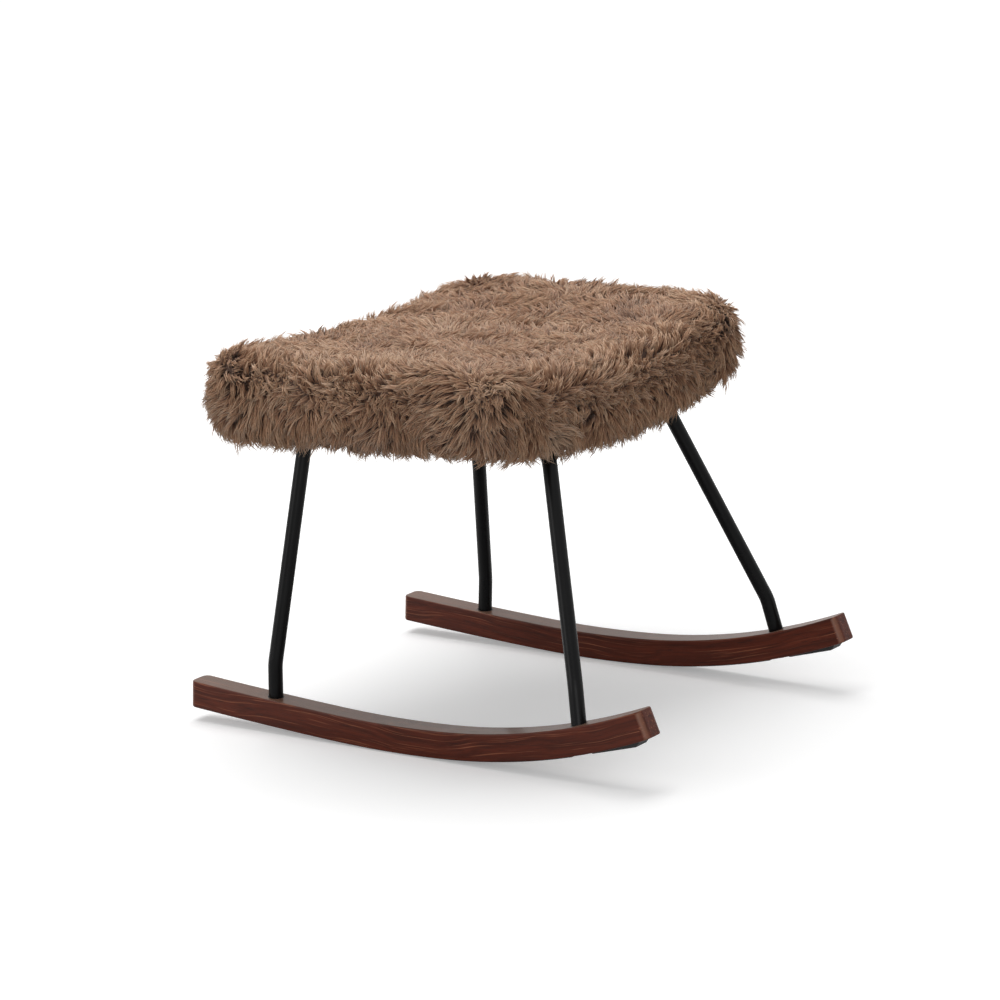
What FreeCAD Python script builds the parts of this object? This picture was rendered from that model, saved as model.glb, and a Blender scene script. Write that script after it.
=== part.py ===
"""Rocking footstool: two bent rockers, two bent side tubes, a dished seat board and a fur pad.

Millimetres. +X points to the end where the rockers turn up, +Y to the stool's left, +Z up.
The origin is on the floor, in the middle of the footprint, with the stool at rest.
"""
import FreeCAD, Part
import math
import os
from FreeCAD import Vector

# Rockers. The underside is three arcs that meet smoothly; the stool rests on the middle one.
rocker_spacing = 399.0
rocker_width = 29.0
rocker_thickness = 30.0
mid_radius = 1430.0
tail_radius = 7030.0
nose_radius = 800.0
mid_rear_length = 75.0
mid_front_length = 68.0
tail_length = 194.0
nose_length = 270.0
rocker_end_round = 8.0
rocker_edge_round = 1.6

# Glide strips and stop pads under the rockers, placed along the underside from the rest point.
glide_thickness = 1.2
glide_width = 20.0
glide_rear_reach = 60.0
glide_front_reach = 236.0
stop_pad_width = 20.0
stop_pad_start = 262.0
stop_pad_length = 55.0
stop_pad_toe = 7.0
stop_pad_thin = 1.2
stop_pad_thick = 4.5

# Side tubes. Leans are the sideways travel for each millimetre of rise.
tube_diameter = 16.0
tube_wall = 1.5
rear_leg_station = 160.0
front_leg_station = 248.0
rear_stub_lean_x = 0.060
rear_stub_lean_y = -0.020
front_stub_lean_x = -0.180
front_stub_lean_y = 0.170
rear_leg_lean_x = 0.108
rear_leg_lean_y = 0.170
front_leg_lean_x = -0.330
front_leg_lean_y = 0.343
stub_rise = 37.0
lower_bend_radius = 60.0
upper_bend_radius = 50.0

# Sockets in the rockers, with their sleeves, plugs, bolts and washers.
socket_depth = 18.0
sleeve_wall = 1.0
sleeve_length = 14.0
plug_length = 22.0
leg_bolt_diameter = 6.0
leg_bolt_length = 24.0
leg_bolt_head_diameter = 10.0
leg_bolt_head_height = 3.0
hex_key_depth = 1.8
leg_washer_diameter = 12.0
leg_washer_thickness = 1.2
counterbore_diameter = 13.0
counterbore_depth = 5.0
hex_key_width = 4.0

# Seat board, dished about a line along X above the stool.
board_length = 332.0
board_width = 452.0
board_thickness = 10.0
board_corner_radius = 18.0
board_dish_radius = 1310.0
board_height = 351.0
seat_behind_rest = 9.0

# Cross bars and the bolts that hold the board on them.
bar_width = 30.0
bar_thickness = 4.0
rear_bar_behind_seat = 86.0
front_bar_ahead_seat = 108.0
bar_overhang = 3.0
weld_gap = 0.3
seat_bolt_spread = 130.0
seat_bolt_diameter = 6.0
seat_bolt_head_diameter = 11.0
seat_bolt_head_height = 3.6
seat_washer_diameter = 14.0
seat_washer_thickness = 1.2
seat_bolt_head_round = 1.6
tee_nut_barrel_diameter = 8.0
tee_nut_barrel_length = 9.0
tee_nut_flange_diameter = 19.0
tee_nut_flange_thickness = 1.4
seat_bolt_reach = 8.5

# Padding and cover, as heights and depths over the board.
foam_height = 32.0
foam_edge_round = 20.0
pad_top_radius = 1825.0
pad_crown = 3.0
pad_draw_in = 3.0
edge_round_share = 0.47
section_turns = (24, 42, 60, 78)
layer_under_round = 3.0
wadding_side = 6.0
wadding_top = 4.5
fur_side = 31.0
fur_top = 16.5
fur_edge_round = 36.0
fur_under_round = 34.0
fringe_drop = 45.0
fringe_dish_radius = 1150.0
seam_above_board = 14.0
return_width = 25.0
return_thickness = 3.0
fringe_mouth_inset = 8.0
window_corner_radius = 11.0

# Dust cover and staples.
dust_thickness = 0.8
dust_gap = 1.0
dust_corner_radius = 9.0
staple_crown = 10.0
staple_leg = 7.0
staple_wire = 0.9
staple_inset = 12.0
dust_staple_inset = 8.0
staple_pitch = 58.0

# Clearances.
soft_gap = 0.3
sheet_gap = 0.1
slide_gap = 0.15
thread_gap = 0.05
hair_gap = 0.8

tube_radius = tube_diameter / 2.0
bore_radius = tube_radius - tube_wall
sleeve_radius = tube_radius + slide_gap + sleeve_wall
far = 900.0
rail_search_steps = 30


def curve_local(station, lift):
    """Point and slope angle at an arc length along the underside, before the frame is set."""
    if station < -mid_rear_length:
        turn = -mid_rear_length / mid_radius
        start = Vector(mid_radius * math.sin(turn), 0, mid_radius * (1 - math.cos(turn)))
        angle = turn + (station + mid_rear_length) / tail_radius
        radius = tail_radius
    elif station > mid_front_length:
        turn = mid_front_length / mid_radius
        start = Vector(mid_radius * math.sin(turn), 0, mid_radius * (1 - math.cos(turn)))
        angle = turn + (station - mid_front_length) / nose_radius
        radius = nose_radius
    else:
        turn = 0.0
        start = Vector(0, 0, 0)
        angle = station / mid_radius
        radius = mid_radius
    step = Vector(math.sin(angle) - math.sin(turn), 0, math.cos(turn) - math.cos(angle))
    rise = Vector(-math.sin(angle), 0, math.cos(angle))
    return start + step * radius + rise * lift, angle


rear_end = -(mid_rear_length + tail_length)
front_end = mid_front_length + nose_length
middle_x = (curve_local(rear_end, 0)[0].x + curve_local(front_end, 0)[0].x) / 2.0
frame_shift = Vector(-middle_x, 0, glide_thickness)


def curve_point(station, lift=0.0):
    """Point at an arc length along the rocker's underside, lifted square to it."""
    return curve_local(station, lift)[0] + frame_shift


def curve_edges(start, stop, lift):
    """Arcs of the underside between two stations, all lifted by the same amount."""
    cuts = [c for c in (-mid_rear_length, mid_front_length) if start < c < stop]
    marks = [start] + cuts + [stop]
    edges = []
    for a, b in zip(marks, marks[1:]):
        points = [curve_point(a, lift), curve_point((a + b) / 2.0, lift), curve_point(b, lift)]
        edges.append(Part.Arc(*points).toShape())
    return edges


def curved_bar(start, stop, low, high, width, side):
    """Bar of rectangular section that follows the rocker's underside."""
    lower = curve_edges(start, stop, low)
    upper = curve_edges(start, stop, high)
    front = Part.makeLine(curve_point(stop, low), curve_point(stop, high))
    rear = Part.makeLine(curve_point(start, high), curve_point(start, low))
    outline = Part.Wire(Part.__sortEdges__(lower + [front] + upper + [rear]))
    face = Part.Face(outline)
    face.translate(Vector(0, side - width / 2.0, 0))
    return face.extrude(Vector(0, width, 0))


def is_line(edge):
    return edge.Curve.TypeId == "Part::GeomLine"


def is_upright(edge):
    """True for the straight edges that run square to the rocker's top and underside."""
    return is_line(edge) and abs(edge.tangentAt(edge.FirstParameter).y) < 0.5


def is_rim(edge):
    """True for the edges round the top and the underside, but not the lines between their arcs."""
    full_width = abs(edge.Length - rocker_width) < 1e-6
    return not is_upright(edge) and not (is_line(edge) and full_width)


def rocker_blank(side):
    """Rocker with rounded ends and eased edges, before it is drilled."""
    bar = curved_bar(rear_end, front_end, 0.0, rocker_thickness, rocker_width, side)
    bar = bar.makeFillet(rocker_end_round, [e for e in bar.Edges if is_upright(e)])
    return bar.makeFillet(rocker_edge_round, [e for e in bar.Edges if is_rim(e)])


def lean(x, y, side):
    """Unit direction of a leg: x and y travel for each unit of rise, y towards the middle."""
    inward = -y if side > 0 else y
    direction = Vector(x, inward, 1.0)
    return direction.normalize()


def leg_foot(station, side):
    """Point where a leg's axis meets the top of its rocker."""
    point = curve_point(station, rocker_thickness)
    point.y = side * rocker_spacing / 2.0
    return point


def leg_feet(side):
    """Foot point and stub direction of the rear and the front leg on one side."""
    rear = (leg_foot(-rear_leg_station, side), lean(rear_stub_lean_x, rear_stub_lean_y, side))
    front = (leg_foot(front_leg_station, side), lean(front_stub_lean_x, front_stub_lean_y, side))
    return [rear, front]


dish_axis_z = board_height + board_dish_radius
dust_top_radius = board_dish_radius + sheet_gap
bar_top_radius = dust_top_radius + dust_thickness + sheet_gap
bar_under_radius = bar_top_radius + bar_thickness
rail_dish_radius = bar_under_radius + weld_gap + tube_radius
seat_x = curve_point(0.0).x - seat_behind_rest


def rail_corner(start, direction):
    """Point on a leg's axis that lies at the height of the rails under the dished board."""
    point = start
    for _ in range(rail_search_steps):
        drop = math.sqrt(rail_dish_radius ** 2 - point.y ** 2)
        target = dish_axis_z - drop
        point = start + direction * ((target - start.z) / direction.z)
    return point


def tube_corners(side):
    """Corner points of one side tube, from its rear end to its front end."""
    (rear_foot, rear_stub), (front_foot, front_stub) = leg_feet(side)
    rear_bend = rear_foot + rear_stub * (stub_rise / rear_stub.z)
    front_bend = front_foot + front_stub * (stub_rise / front_stub.z)
    rear_top = rail_corner(rear_bend, lean(rear_leg_lean_x, rear_leg_lean_y, side))
    front_top = rail_corner(front_bend, lean(front_leg_lean_x, front_leg_lean_y, side))
    rear_low = rear_foot - rear_stub * socket_depth
    front_low = front_foot - front_stub * socket_depth
    return [rear_low, rear_bend, rear_top, front_top, front_bend, front_low]


def bend_arc(before, corner, after, radius):
    """Ends and middle of the arc that rounds a corner of the tube's axis."""
    back = (before - corner).normalize()
    ahead = (after - corner).normalize()
    half = back.getAngle(ahead) / 2.0
    reach = radius / math.tan(half)
    bisector = (back + ahead).normalize()
    centre = corner + bisector * (radius / math.sin(half))
    return corner + back * reach, centre - bisector * radius, corner + ahead * reach


def tube_path(side):
    """Axis of one side tube, as straight runs joined by tangent arcs."""
    corners = tube_corners(side)
    radii = [lower_bend_radius, upper_bend_radius, upper_bend_radius, lower_bend_radius]
    edges = []
    last = corners[0]
    for i, radius in enumerate(radii):
        enter, middle, leave = bend_arc(corners[i], corners[i + 1], corners[i + 2], radius)
        edges.append(Part.makeLine(last, enter))
        edges.append(Part.Arc(enter, middle, leave).toShape())
        last = leave
    edges.append(Part.makeLine(last, corners[-1]))
    return Part.Wire(edges)


def tube_solid(side, radius):
    """Round bar of a given radius along the side tube's axis."""
    path = tube_path(side)
    corners = tube_corners(side)
    ring = Part.Wire(Part.makeCircle(radius, corners[0], corners[1] - corners[0]))
    return path.makePipeShell([ring], True, False)


def side_tube(side):
    return tube_solid(side, tube_radius).cut(tube_solid(side, bore_radius))


def rod(start, direction, length, radius):
    return Part.makeCylinder(radius, length, start, direction)


def washer(start, direction, thickness, outer, inner):
    ring = rod(start, direction, thickness, outer / 2.0)
    return ring.cut(rod(start - direction, direction, thickness + 2.0, inner / 2.0))


def rocker(side):
    """Rocker with its two sockets, bolt holes and counterbores."""
    body = rocker_blank(side * rocker_spacing / 2.0)
    for foot, stub in leg_feet(side):
        floor = foot - stub * socket_depth
        body = body.cut(rod(floor, stub, far, sleeve_radius))
        body = body.cut(rod(foot - stub * far, stub, far, leg_bolt_diameter / 2.0 + slide_gap))
        seat = bolt_seat(foot, stub)
        body = body.cut(rod(seat - stub * far, stub, far, counterbore_diameter / 2.0))
    return body


def bolt_seat(foot, stub):
    """Floor of the counterbore under a leg, measured up from the rocker's underside."""
    return foot - stub * (rocker_thickness - counterbore_depth)


def leg_sleeve(side, foot, stub):
    """Thin sleeve round the tube, cut flush with the top of the rocker."""
    inner = tube_radius + slide_gap
    top_part = rod(foot - stub * sleeve_length, stub, 2.0 * sleeve_length, sleeve_radius)
    ring = top_part.cut(rod(foot - stub * far, stub, 2.0 * far, inner))
    return ring.common(rocker_blank(side * rocker_spacing / 2.0))


def leg_plug(foot, stub):
    """Threaded plug held in the lower end of a tube."""
    floor = foot - stub * socket_depth
    plug = rod(floor, stub, plug_length, bore_radius - thread_gap)
    return plug.cut(rod(floor - stub, stub, plug_length + 2.0, leg_bolt_diameter / 2.0 + thread_gap))


def leg_bolt(foot, stub):
    """Low-head bolt that pulls the plug down into the socket."""
    under_head = bolt_seat(foot, stub) - stub * leg_washer_thickness
    shank = rod(under_head, stub, leg_bolt_length, leg_bolt_diameter / 2.0)
    head = rod(under_head, stub * -1.0, leg_bolt_head_height, leg_bolt_head_diameter / 2.0)
    return shank.fuse(head.cut(hex_pocket(under_head, stub))).removeSplitter()


def hex_pocket(under_head, stub):
    """Hexagonal recess for the key, in the outer face of a bolt's head."""
    flat = hex_key_width / math.sqrt(3.0)
    turns = [math.radians(60 * i) for i in range(7)]
    corners = [Vector(flat * math.cos(turn), flat * math.sin(turn), 0) for turn in turns]
    pocket = Part.Face(Part.makePolygon(corners)).extrude(Vector(0, 0, leg_bolt_head_height))
    facing = FreeCAD.Rotation(Vector(0, 0, 1), stub * -1.0)
    start = under_head - stub * (leg_bolt_head_height - hex_key_depth)
    pocket.Placement = FreeCAD.Placement(start, facing)
    return pocket


def leg_washer(foot, stub):
    seat = bolt_seat(foot, stub)
    hole = leg_bolt_diameter + 2.0 * slide_gap
    return washer(seat, stub * -1.0, leg_washer_thickness, leg_washer_diameter, hole)


def dish_cylinder(radius):
    """Everything within a radius of the line that the board is dished about."""
    start = Vector(-far, 0, dish_axis_z)
    return Part.makeCylinder(radius, 2.0 * far, start, Vector(1, 0, 0))


def below_dish(radius):
    """Everything lower than a dished surface of this radius."""
    low = dish_axis_z - radius - far
    block = Part.makeBox(2.0 * far, 2.0 * far, 2.0 * far, Vector(-far, -far, low))
    return block.cut(dish_cylinder(radius))


def rounded_outline(half_x, half_y, corner, z):
    """Closed rounded rectangle at a height, centred under the seat."""
    ex = half_x - corner
    ey = half_y - corner
    edges = []
    spots = [(ex, ey, 0), (-ex, ey, 90), (-ex, -ey, 180), (ex, -ey, 270)]
    arcs = []
    for cx, cy, start in spots:
        points = []
        for angle in (start, start + 45, start + 90):
            a = math.radians(angle)
            points.append(Vector(seat_x + cx + corner * math.cos(a), cy + corner * math.sin(a), z))
        arcs.append(points)
    for i, points in enumerate(arcs):
        edges.append(Part.Arc(*points).toShape())
        edges.append(Part.makeLine(points[2], arcs[(i + 1) % 4][0]))
    return Part.Wire(edges)


def plan_prism(half_x, half_y, corner):
    """Tall prism over a rounded rectangle, centred under the seat."""
    face = Part.Face(rounded_outline(half_x, half_y, corner, 0.0))
    return face.extrude(Vector(0, 0, far))


def dished_sheet(half_x, half_y, corner, upper_radius, lower_radius):
    """Sheet between two dished surfaces, cut to a rounded rectangle in plan."""
    band = dish_cylinder(lower_radius).cut(dish_cylinder(upper_radius))
    return band.common(plan_prism(half_x, half_y, corner))


half_board_x = board_length / 2.0
half_board_y = board_width / 2.0
board_top_radius = board_dish_radius - board_thickness
board_top_z = board_height + board_thickness


def pad_section(x, half_y, top_z, under_z, top_round, under_round, under_radius):
    """Cross-section of the padding: dished top and underside, rounded shoulders."""
    edge_rise = half_y ** 2 / (2.0 * pad_top_radius) - half_y ** 2 / (2.0 * under_radius)
    most_round = edge_round_share * (top_z - under_z + edge_rise)
    top_round = min(top_round, most_round)
    under_round = min(under_round, most_round)
    top_centre = Vector(x, 0, top_z + pad_top_radius)
    under_centre = Vector(x, 0, under_z + under_radius)
    shoulder_y = half_y - top_round
    hip_y = half_y - under_round
    top_reach = pad_top_radius + top_round
    under_reach = under_radius - under_round
    shoulder = Vector(x, shoulder_y, top_centre.z - math.sqrt(top_reach ** 2 - shoulder_y ** 2))
    hip = Vector(x, hip_y, under_centre.z - math.sqrt(under_reach ** 2 - hip_y ** 2))
    top_touch = top_centre + (shoulder - top_centre).normalize() * pad_top_radius
    under_touch = under_centre + (hip - under_centre).normalize() * under_radius
    shoulder_mid = shoulder + ((top_touch - shoulder).normalize() + Vector(0, 1, 0)).normalize() * top_round
    hip_mid = hip + ((under_touch - hip).normalize() + Vector(0, 1, 0)).normalize() * under_round
    shoulder_out = shoulder + Vector(0, top_round, 0)
    hip_out = hip + Vector(0, under_round, 0)
    top_mid = Vector(x, 0, top_z)
    under_mid = Vector(x, 0, under_z)
    right = [mirror_y(p) for p in (top_touch, shoulder_mid, shoulder_out, hip_out, hip_mid, under_touch)]
    edges = [
        Part.Arc(right[0], top_mid, top_touch).toShape(),
        Part.Arc(top_touch, shoulder_mid, shoulder_out).toShape(),
        Part.makeLine(shoulder_out, hip_out),
        Part.Arc(hip_out, hip_mid, under_touch).toShape(),
        Part.Arc(under_touch, under_mid, right[5]).toShape(),
        Part.Arc(right[5], right[4], right[3]).toShape(),
        Part.makeLine(right[3], right[2]),
        Part.Arc(right[2], right[1], right[0]).toShape(),
    ]
    return Part.Wire(edges)


def mirror_y(point):
    return Vector(point.x, -point.y, point.z)


def rounding(distance, radius):
    """How far a rounded edge still falls short of its full width at a distance from its end."""
    if distance >= radius:
        return 0.0
    return radius - math.sqrt(radius ** 2 - (radius - distance) ** 2)


def pad_form(half_x, half_y, corner, top_z, under_z, top_round, under_round, under_radius):
    """Crowned closed form with drawn-in sides, lofted from end to end through its sections."""
    wires = []
    near_end = [half_x - corner * (1.0 - math.cos(math.radians(turn))) for turn in section_turns]
    inner = half_x - corner * 1.5
    stations = near_end + [inner, inner / 2.0]
    stations = sorted([-s for s in stations] + [0.0] + stations)
    for s in stations:
        gap = half_x - abs(s)
        share = (s / half_x) ** 2
        width = half_y - rounding(gap, corner) - pad_draw_in * (1.0 - share)
        top = top_z - pad_crown * share - rounding(gap, top_round)
        under = under_z + rounding(gap, under_round)
        wires.append(pad_section(seat_x + s, width, top, under, top_round, under_round,
                                 under_radius))
    return Part.makeLoft(wires, True, False)


def layer_form(grow_side, grow_top):
    """Padding form grown past the foam; its underside stays below the board."""
    half_x = half_board_x + grow_side
    half_y = half_board_y + grow_side
    corner = board_corner_radius + grow_side
    top_z = board_top_z + foam_height + grow_top
    under_z = board_height - 2.0 * foam_edge_round
    return pad_form(half_x, half_y, corner, top_z, under_z, foam_edge_round + grow_side,
                    layer_under_round, board_dish_radius)


def foam_core():
    above_board = layer_form(0.0, 0.0).cut(below_dish(board_top_radius - sheet_gap))
    flanges = Part.makeCompound([tee_nut_room(spot) for spot in seat_bolt_spots()])
    return above_board.cut(flanges)


def wadding_layer():
    outer = layer_form(wadding_side, wadding_top)
    inner = layer_form(soft_gap, soft_gap)
    board_room = plan_prism(half_board_x + soft_gap, half_board_y + soft_gap, board_corner_radius)
    board_room = board_room.common(below_dish(board_top_radius - soft_gap))
    return outer.cut(inner).cut(board_room).cut(below_dish(board_dish_radius))


def fur_outer():
    """Outer form of the fur, out to where the hair's tips thin out."""
    side = wadding_side + fur_side
    top_z = board_top_z + foam_height + wadding_top + fur_top
    return pad_form(half_board_x + side, half_board_y + side, board_corner_radius + side, top_z,
                    board_height - fringe_drop, fur_edge_round, fur_under_round, fringe_dish_radius)


def fringe_recess():
    """Space under the board, inside the hanging fringe of hair."""
    slope = (return_width - fringe_mouth_inset) / fringe_drop
    wires = []
    for z in (board_height - 2.0 * fringe_drop, board_height + 2.0 * fringe_drop):
        inset = return_width + slope * (z - board_height)
        wires.append(rounded_outline(half_board_x - inset, half_board_y - inset,
                                     window_corner_radius, z))
    return Part.makeLoft(wires, True, True).common(below_dish(board_dish_radius + return_thickness))


def cover():
    """Whole fur cover, with its return under the board and room for the legs."""
    inner = layer_form(wadding_side + soft_gap, wadding_top + soft_gap)
    inner = inner.cut(below_dish(board_dish_radius))
    body = fur_outer().cut(inner).cut(fringe_recess())
    window = plan_prism(half_board_x - return_width, half_board_y - return_width,
                        window_corner_radius)
    body = body.cut(window.common(below_dish(board_dish_radius)))
    for side in (1, -1):
        body = body.cut(tube_solid(side, tube_radius + hair_gap))
    return body


def seat_board():
    return dished_sheet(half_board_x, half_board_y, board_corner_radius, board_top_radius,
                        board_dish_radius)


def dust_cover():
    inset = return_width + dust_gap
    return dished_sheet(half_board_x - inset, half_board_y - inset, dust_corner_radius,
                        dust_top_radius, dust_top_radius + dust_thickness)


def on_dish(x, y, radius):
    """Point of a dished surface, straight out from a place on the board's underside, and the
    direction square to it that points up."""
    height = math.sqrt(board_dish_radius ** 2 - y ** 2)
    up = Vector(0, -y, height).normalize()
    return Vector(x, y, dish_axis_z - height) + up * (board_dish_radius - radius), up


def bar_positions():
    return {"rear": seat_x - rear_bar_behind_seat, "front": seat_x + front_bar_ahead_seat}


def rail_y(x):
    """Distance of the rails from the middle plane at a place along the stool."""
    corners = tube_corners(1)
    rear = corners[2]
    front = corners[3]
    return rear.y + (front.y - rear.y) * (x - rear.x) / (front.x - rear.x)


def seat_bolt_spots():
    """Places of the four seat bolts, as x and y."""
    return [(x, sign * seat_bolt_spread / 2.0) for x in bar_positions().values() for sign in (1, -1)]


def cross_bar(x):
    """Flat bar bent to the board's dish, with its bolt holes."""
    reach = rail_y(x) + tube_radius + bar_overhang
    band = dish_cylinder(bar_under_radius).cut(dish_cylinder(bar_top_radius))
    blank = Part.makeBox(bar_width, 2.0 * reach, far, Vector(x - bar_width / 2.0, -reach, 0))
    bar = band.common(blank)
    for spot in seat_bolt_spots():
        bar = bar.cut(bolt_way(spot, seat_bolt_diameter / 2.0 + slide_gap))
    return bar


def bolt_way(spot, radius):
    """Long round hole, square to the board, at a seat bolt."""
    point, up = on_dish(spot[0], spot[1], board_dish_radius)
    reach = 2.0 * board_thickness
    return rod(point - up * reach, up, 2.0 * reach, radius)


def seat_washer(spot):
    point, up = on_dish(spot[0], spot[1], bar_under_radius + thread_gap)
    hole = seat_bolt_diameter + 2.0 * slide_gap
    return washer(point, up * -1.0, seat_washer_thickness, seat_washer_diameter, hole)


def seat_bolt(spot):
    """Pan-head bolt from below, through bar and dust cover, into the tee nut."""
    radius = bar_under_radius + thread_gap + seat_washer_thickness
    point, up = on_dish(spot[0], spot[1], radius)
    length = radius - board_dish_radius + seat_bolt_reach
    shank = rod(point, up, length, seat_bolt_diameter / 2.0)
    head = rod(point, up * -1.0, seat_bolt_head_height, seat_bolt_head_diameter / 2.0)
    crown = point - up * seat_bolt_head_height
    head = head.makeFillet(seat_bolt_head_round, [e for e in head.Edges if e.CenterOfMass.isEqual(crown, 0.1)])
    return shank.fuse(head).removeSplitter()


def tee_nut(spot):
    """Tee nut: barrel in the board, flange on the board's upper face."""
    point, up = on_dish(spot[0], spot[1], board_top_radius)
    barrel = rod(point, up * -1.0, tee_nut_barrel_length, tee_nut_barrel_diameter / 2.0)
    flange = rod(point + up * soft_gap, up, tee_nut_flange_thickness, tee_nut_flange_diameter / 2.0)
    neck = rod(point, up, soft_gap, tee_nut_barrel_diameter / 2.0)
    solid = barrel.fuse([neck, flange]).removeSplitter()
    hole = seat_bolt_diameter / 2.0 + thread_gap
    return solid.cut(rod(point - up * board_thickness, up, 2.0 * board_thickness, hole))


def tee_nut_room(spot):
    """Room in the foam's underside for a tee nut's flange."""
    point, up = on_dish(spot[0], spot[1], board_top_radius)
    height = tee_nut_flange_thickness + 2.0 * soft_gap
    return rod(point - up * soft_gap, up, height + soft_gap, tee_nut_flange_diameter / 2.0 + soft_gap)


def staple(x, y, along, radius):
    """U-shaped wire driven up square to a dished surface; the crown lies under it."""
    point, up = on_dish(x, y, radius)
    wire = staple_wire
    crown = Part.makeBox(staple_crown, wire, wire, Vector(-staple_crown / 2.0, -wire / 2.0, -wire))
    leg = Part.makeBox(wire, wire, staple_leg, Vector(-staple_crown / 2.0, -wire / 2.0, 0))
    other = leg.copy()
    other.translate(Vector(staple_crown - wire, 0, 0))
    solid = crown.fuse([leg, other]).removeSplitter()
    solid.rotate(Vector(0, 0, 0), Vector(0, 0, 1), along)
    solid.rotate(Vector(0, 0, 0), Vector(1, 0, 0), math.degrees(math.atan2(-up.y, up.z)))
    solid.translate(point - up * thread_gap)
    return solid


def staple_ring(half_x, half_y, corner, radius):
    """Staples in a ring under the board, evenly spaced along its four sides."""
    solids = []
    run_x = half_x - corner
    run_y = half_y - corner
    count_x = max(2, int(round(2.0 * run_x / staple_pitch)) + 1)
    count_y = max(2, int(round(2.0 * run_y / staple_pitch)) + 1)
    for sign in (1, -1):
        for i in range(count_x):
            x = -run_x + 2.0 * run_x * i / (count_x - 1)
            solids.append(staple(seat_x + x, sign * half_y, 0.0, radius))
        for i in range(count_y):
            y = -run_y + 2.0 * run_y * i / (count_y - 1)
            solids.append(staple(seat_x + sign * half_x, y, 90.0, radius))
    return solids


def cover_staples():
    return staple_ring(half_board_x - staple_inset, half_board_y - staple_inset,
                       board_corner_radius, board_dish_radius + return_thickness)


def dust_staples():
    inset = return_width + dust_gap + dust_staple_inset
    return staple_ring(half_board_x - inset, half_board_y - inset, board_corner_radius,
                       dust_top_radius + dust_thickness)


def glide_strip(side):
    return curved_bar(-glide_rear_reach, glide_front_reach, -glide_thickness, 0.0, glide_width,
                      side * rocker_spacing / 2.0)


def stop_pad(side):
    """Wedge with a flat foot under the nose of a rocker, chamfered at its toe."""
    stop = stop_pad_start + stop_pad_length
    toe = stop + stop_pad_toe
    corners = [curve_point(toe), curve_point(stop, -stop_pad_thick),
               curve_point(stop_pad_start, -stop_pad_thin), curve_point(stop_pad_start)]
    lines = [Part.makeLine(a, b) for a, b in zip(corners, corners[1:])]
    outline = Part.Wire(Part.__sortEdges__(curve_edges(stop_pad_start, toe, 0.0) + lines))
    face = Part.Face(outline)
    face.translate(Vector(0, side * rocker_spacing / 2.0 - stop_pad_width / 2.0, 0))
    return face.extrude(Vector(0, stop_pad_width, 0))


def every_leg():
    return [(side, foot, stub) for side in (1, -1) for foot, stub in leg_feet(side)]


def group(solids):
    return Part.makeCompound(solids)


def build():
    """All nodes of the stool by name."""
    nodes = {}
    for name, side in (("left", 1), ("right", -1)):
        nodes["rocker_" + name] = rocker(side)
        nodes["side_tube_" + name] = side_tube(side)
        nodes["glide_strip_" + name] = glide_strip(side)
        nodes["stop_pad_" + name] = stop_pad(side)
    legs = every_leg()
    nodes["leg_sleeves"] = group([leg_sleeve(side, foot, stub) for side, foot, stub in legs])
    nodes["leg_end_plugs"] = group([leg_plug(foot, stub) for side, foot, stub in legs])
    nodes["leg_bolts"] = group([leg_bolt(foot, stub) for side, foot, stub in legs])
    nodes["leg_washers"] = group([leg_washer(foot, stub) for side, foot, stub in legs])
    for name, x in bar_positions().items():
        nodes["cross_bar_" + name] = cross_bar(x)
    spots = seat_bolt_spots()
    nodes["seat_bolts"] = group([seat_bolt(spot) for spot in spots])
    nodes["seat_washers"] = group([seat_washer(spot) for spot in spots])
    nodes["tee_nuts"] = group([tee_nut(spot) for spot in spots])
    cover_staple_group = group(cover_staples())
    dust_staple_group = group(dust_staples())
    nodes["cover_staples"] = cover_staple_group
    nodes["dust_staples"] = dust_staple_group
    board = seat_board().cut(cover_staple_group).cut(dust_staple_group)
    dust = dust_cover().cut(dust_staple_group)
    for spot in spots:
        board = board.cut(bolt_way(spot, tee_nut_barrel_diameter / 2.0 + thread_gap))
        dust = dust.cut(bolt_way(spot, seat_bolt_diameter / 2.0 + slide_gap))
    nodes["seat_board"] = board
    nodes["dust_cover"] = dust
    nodes["foam_core"] = foam_core()
    nodes["wadding_layer"] = wadding_layer()
    whole_cover = cover().cut(cover_staple_group)
    under_seam = below_dish(board_dish_radius - seam_above_board)
    nodes["fur_top_panel"] = whole_cover.cut(under_seam)
    nodes["fur_border_band"] = whole_cover.common(under_seam)
    return nodes


os.makedirs("parts", exist_ok=True)
for node, shape in build().items():
    shape.exportStep("parts/" + node + ".step")
    box = shape.BoundBox
    print(f"{node:18s} solids {len(shape.Solids):3d} valid {shape.isValid()} volume {shape.Volume:12.1f}"
          f"  x {box.XMin:7.1f} {box.XMax:7.1f}  y {box.YMin:7.1f} {box.YMax:7.1f}"
          f"  z {box.ZMin:7.1f} {box.ZMax:7.1f}")
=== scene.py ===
"""Rocking footstool: dark wooden rockers, black bent tubes and a saddle-shaped pad in long brown fur.

Metres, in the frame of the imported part: +X towards the upturned ends, +Y to the left, +Z up.
"""
import math

import bpy
import numpy as np
from mathutils import Vector, Matrix
from mathutils.bvhtree import BVHTree


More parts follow.
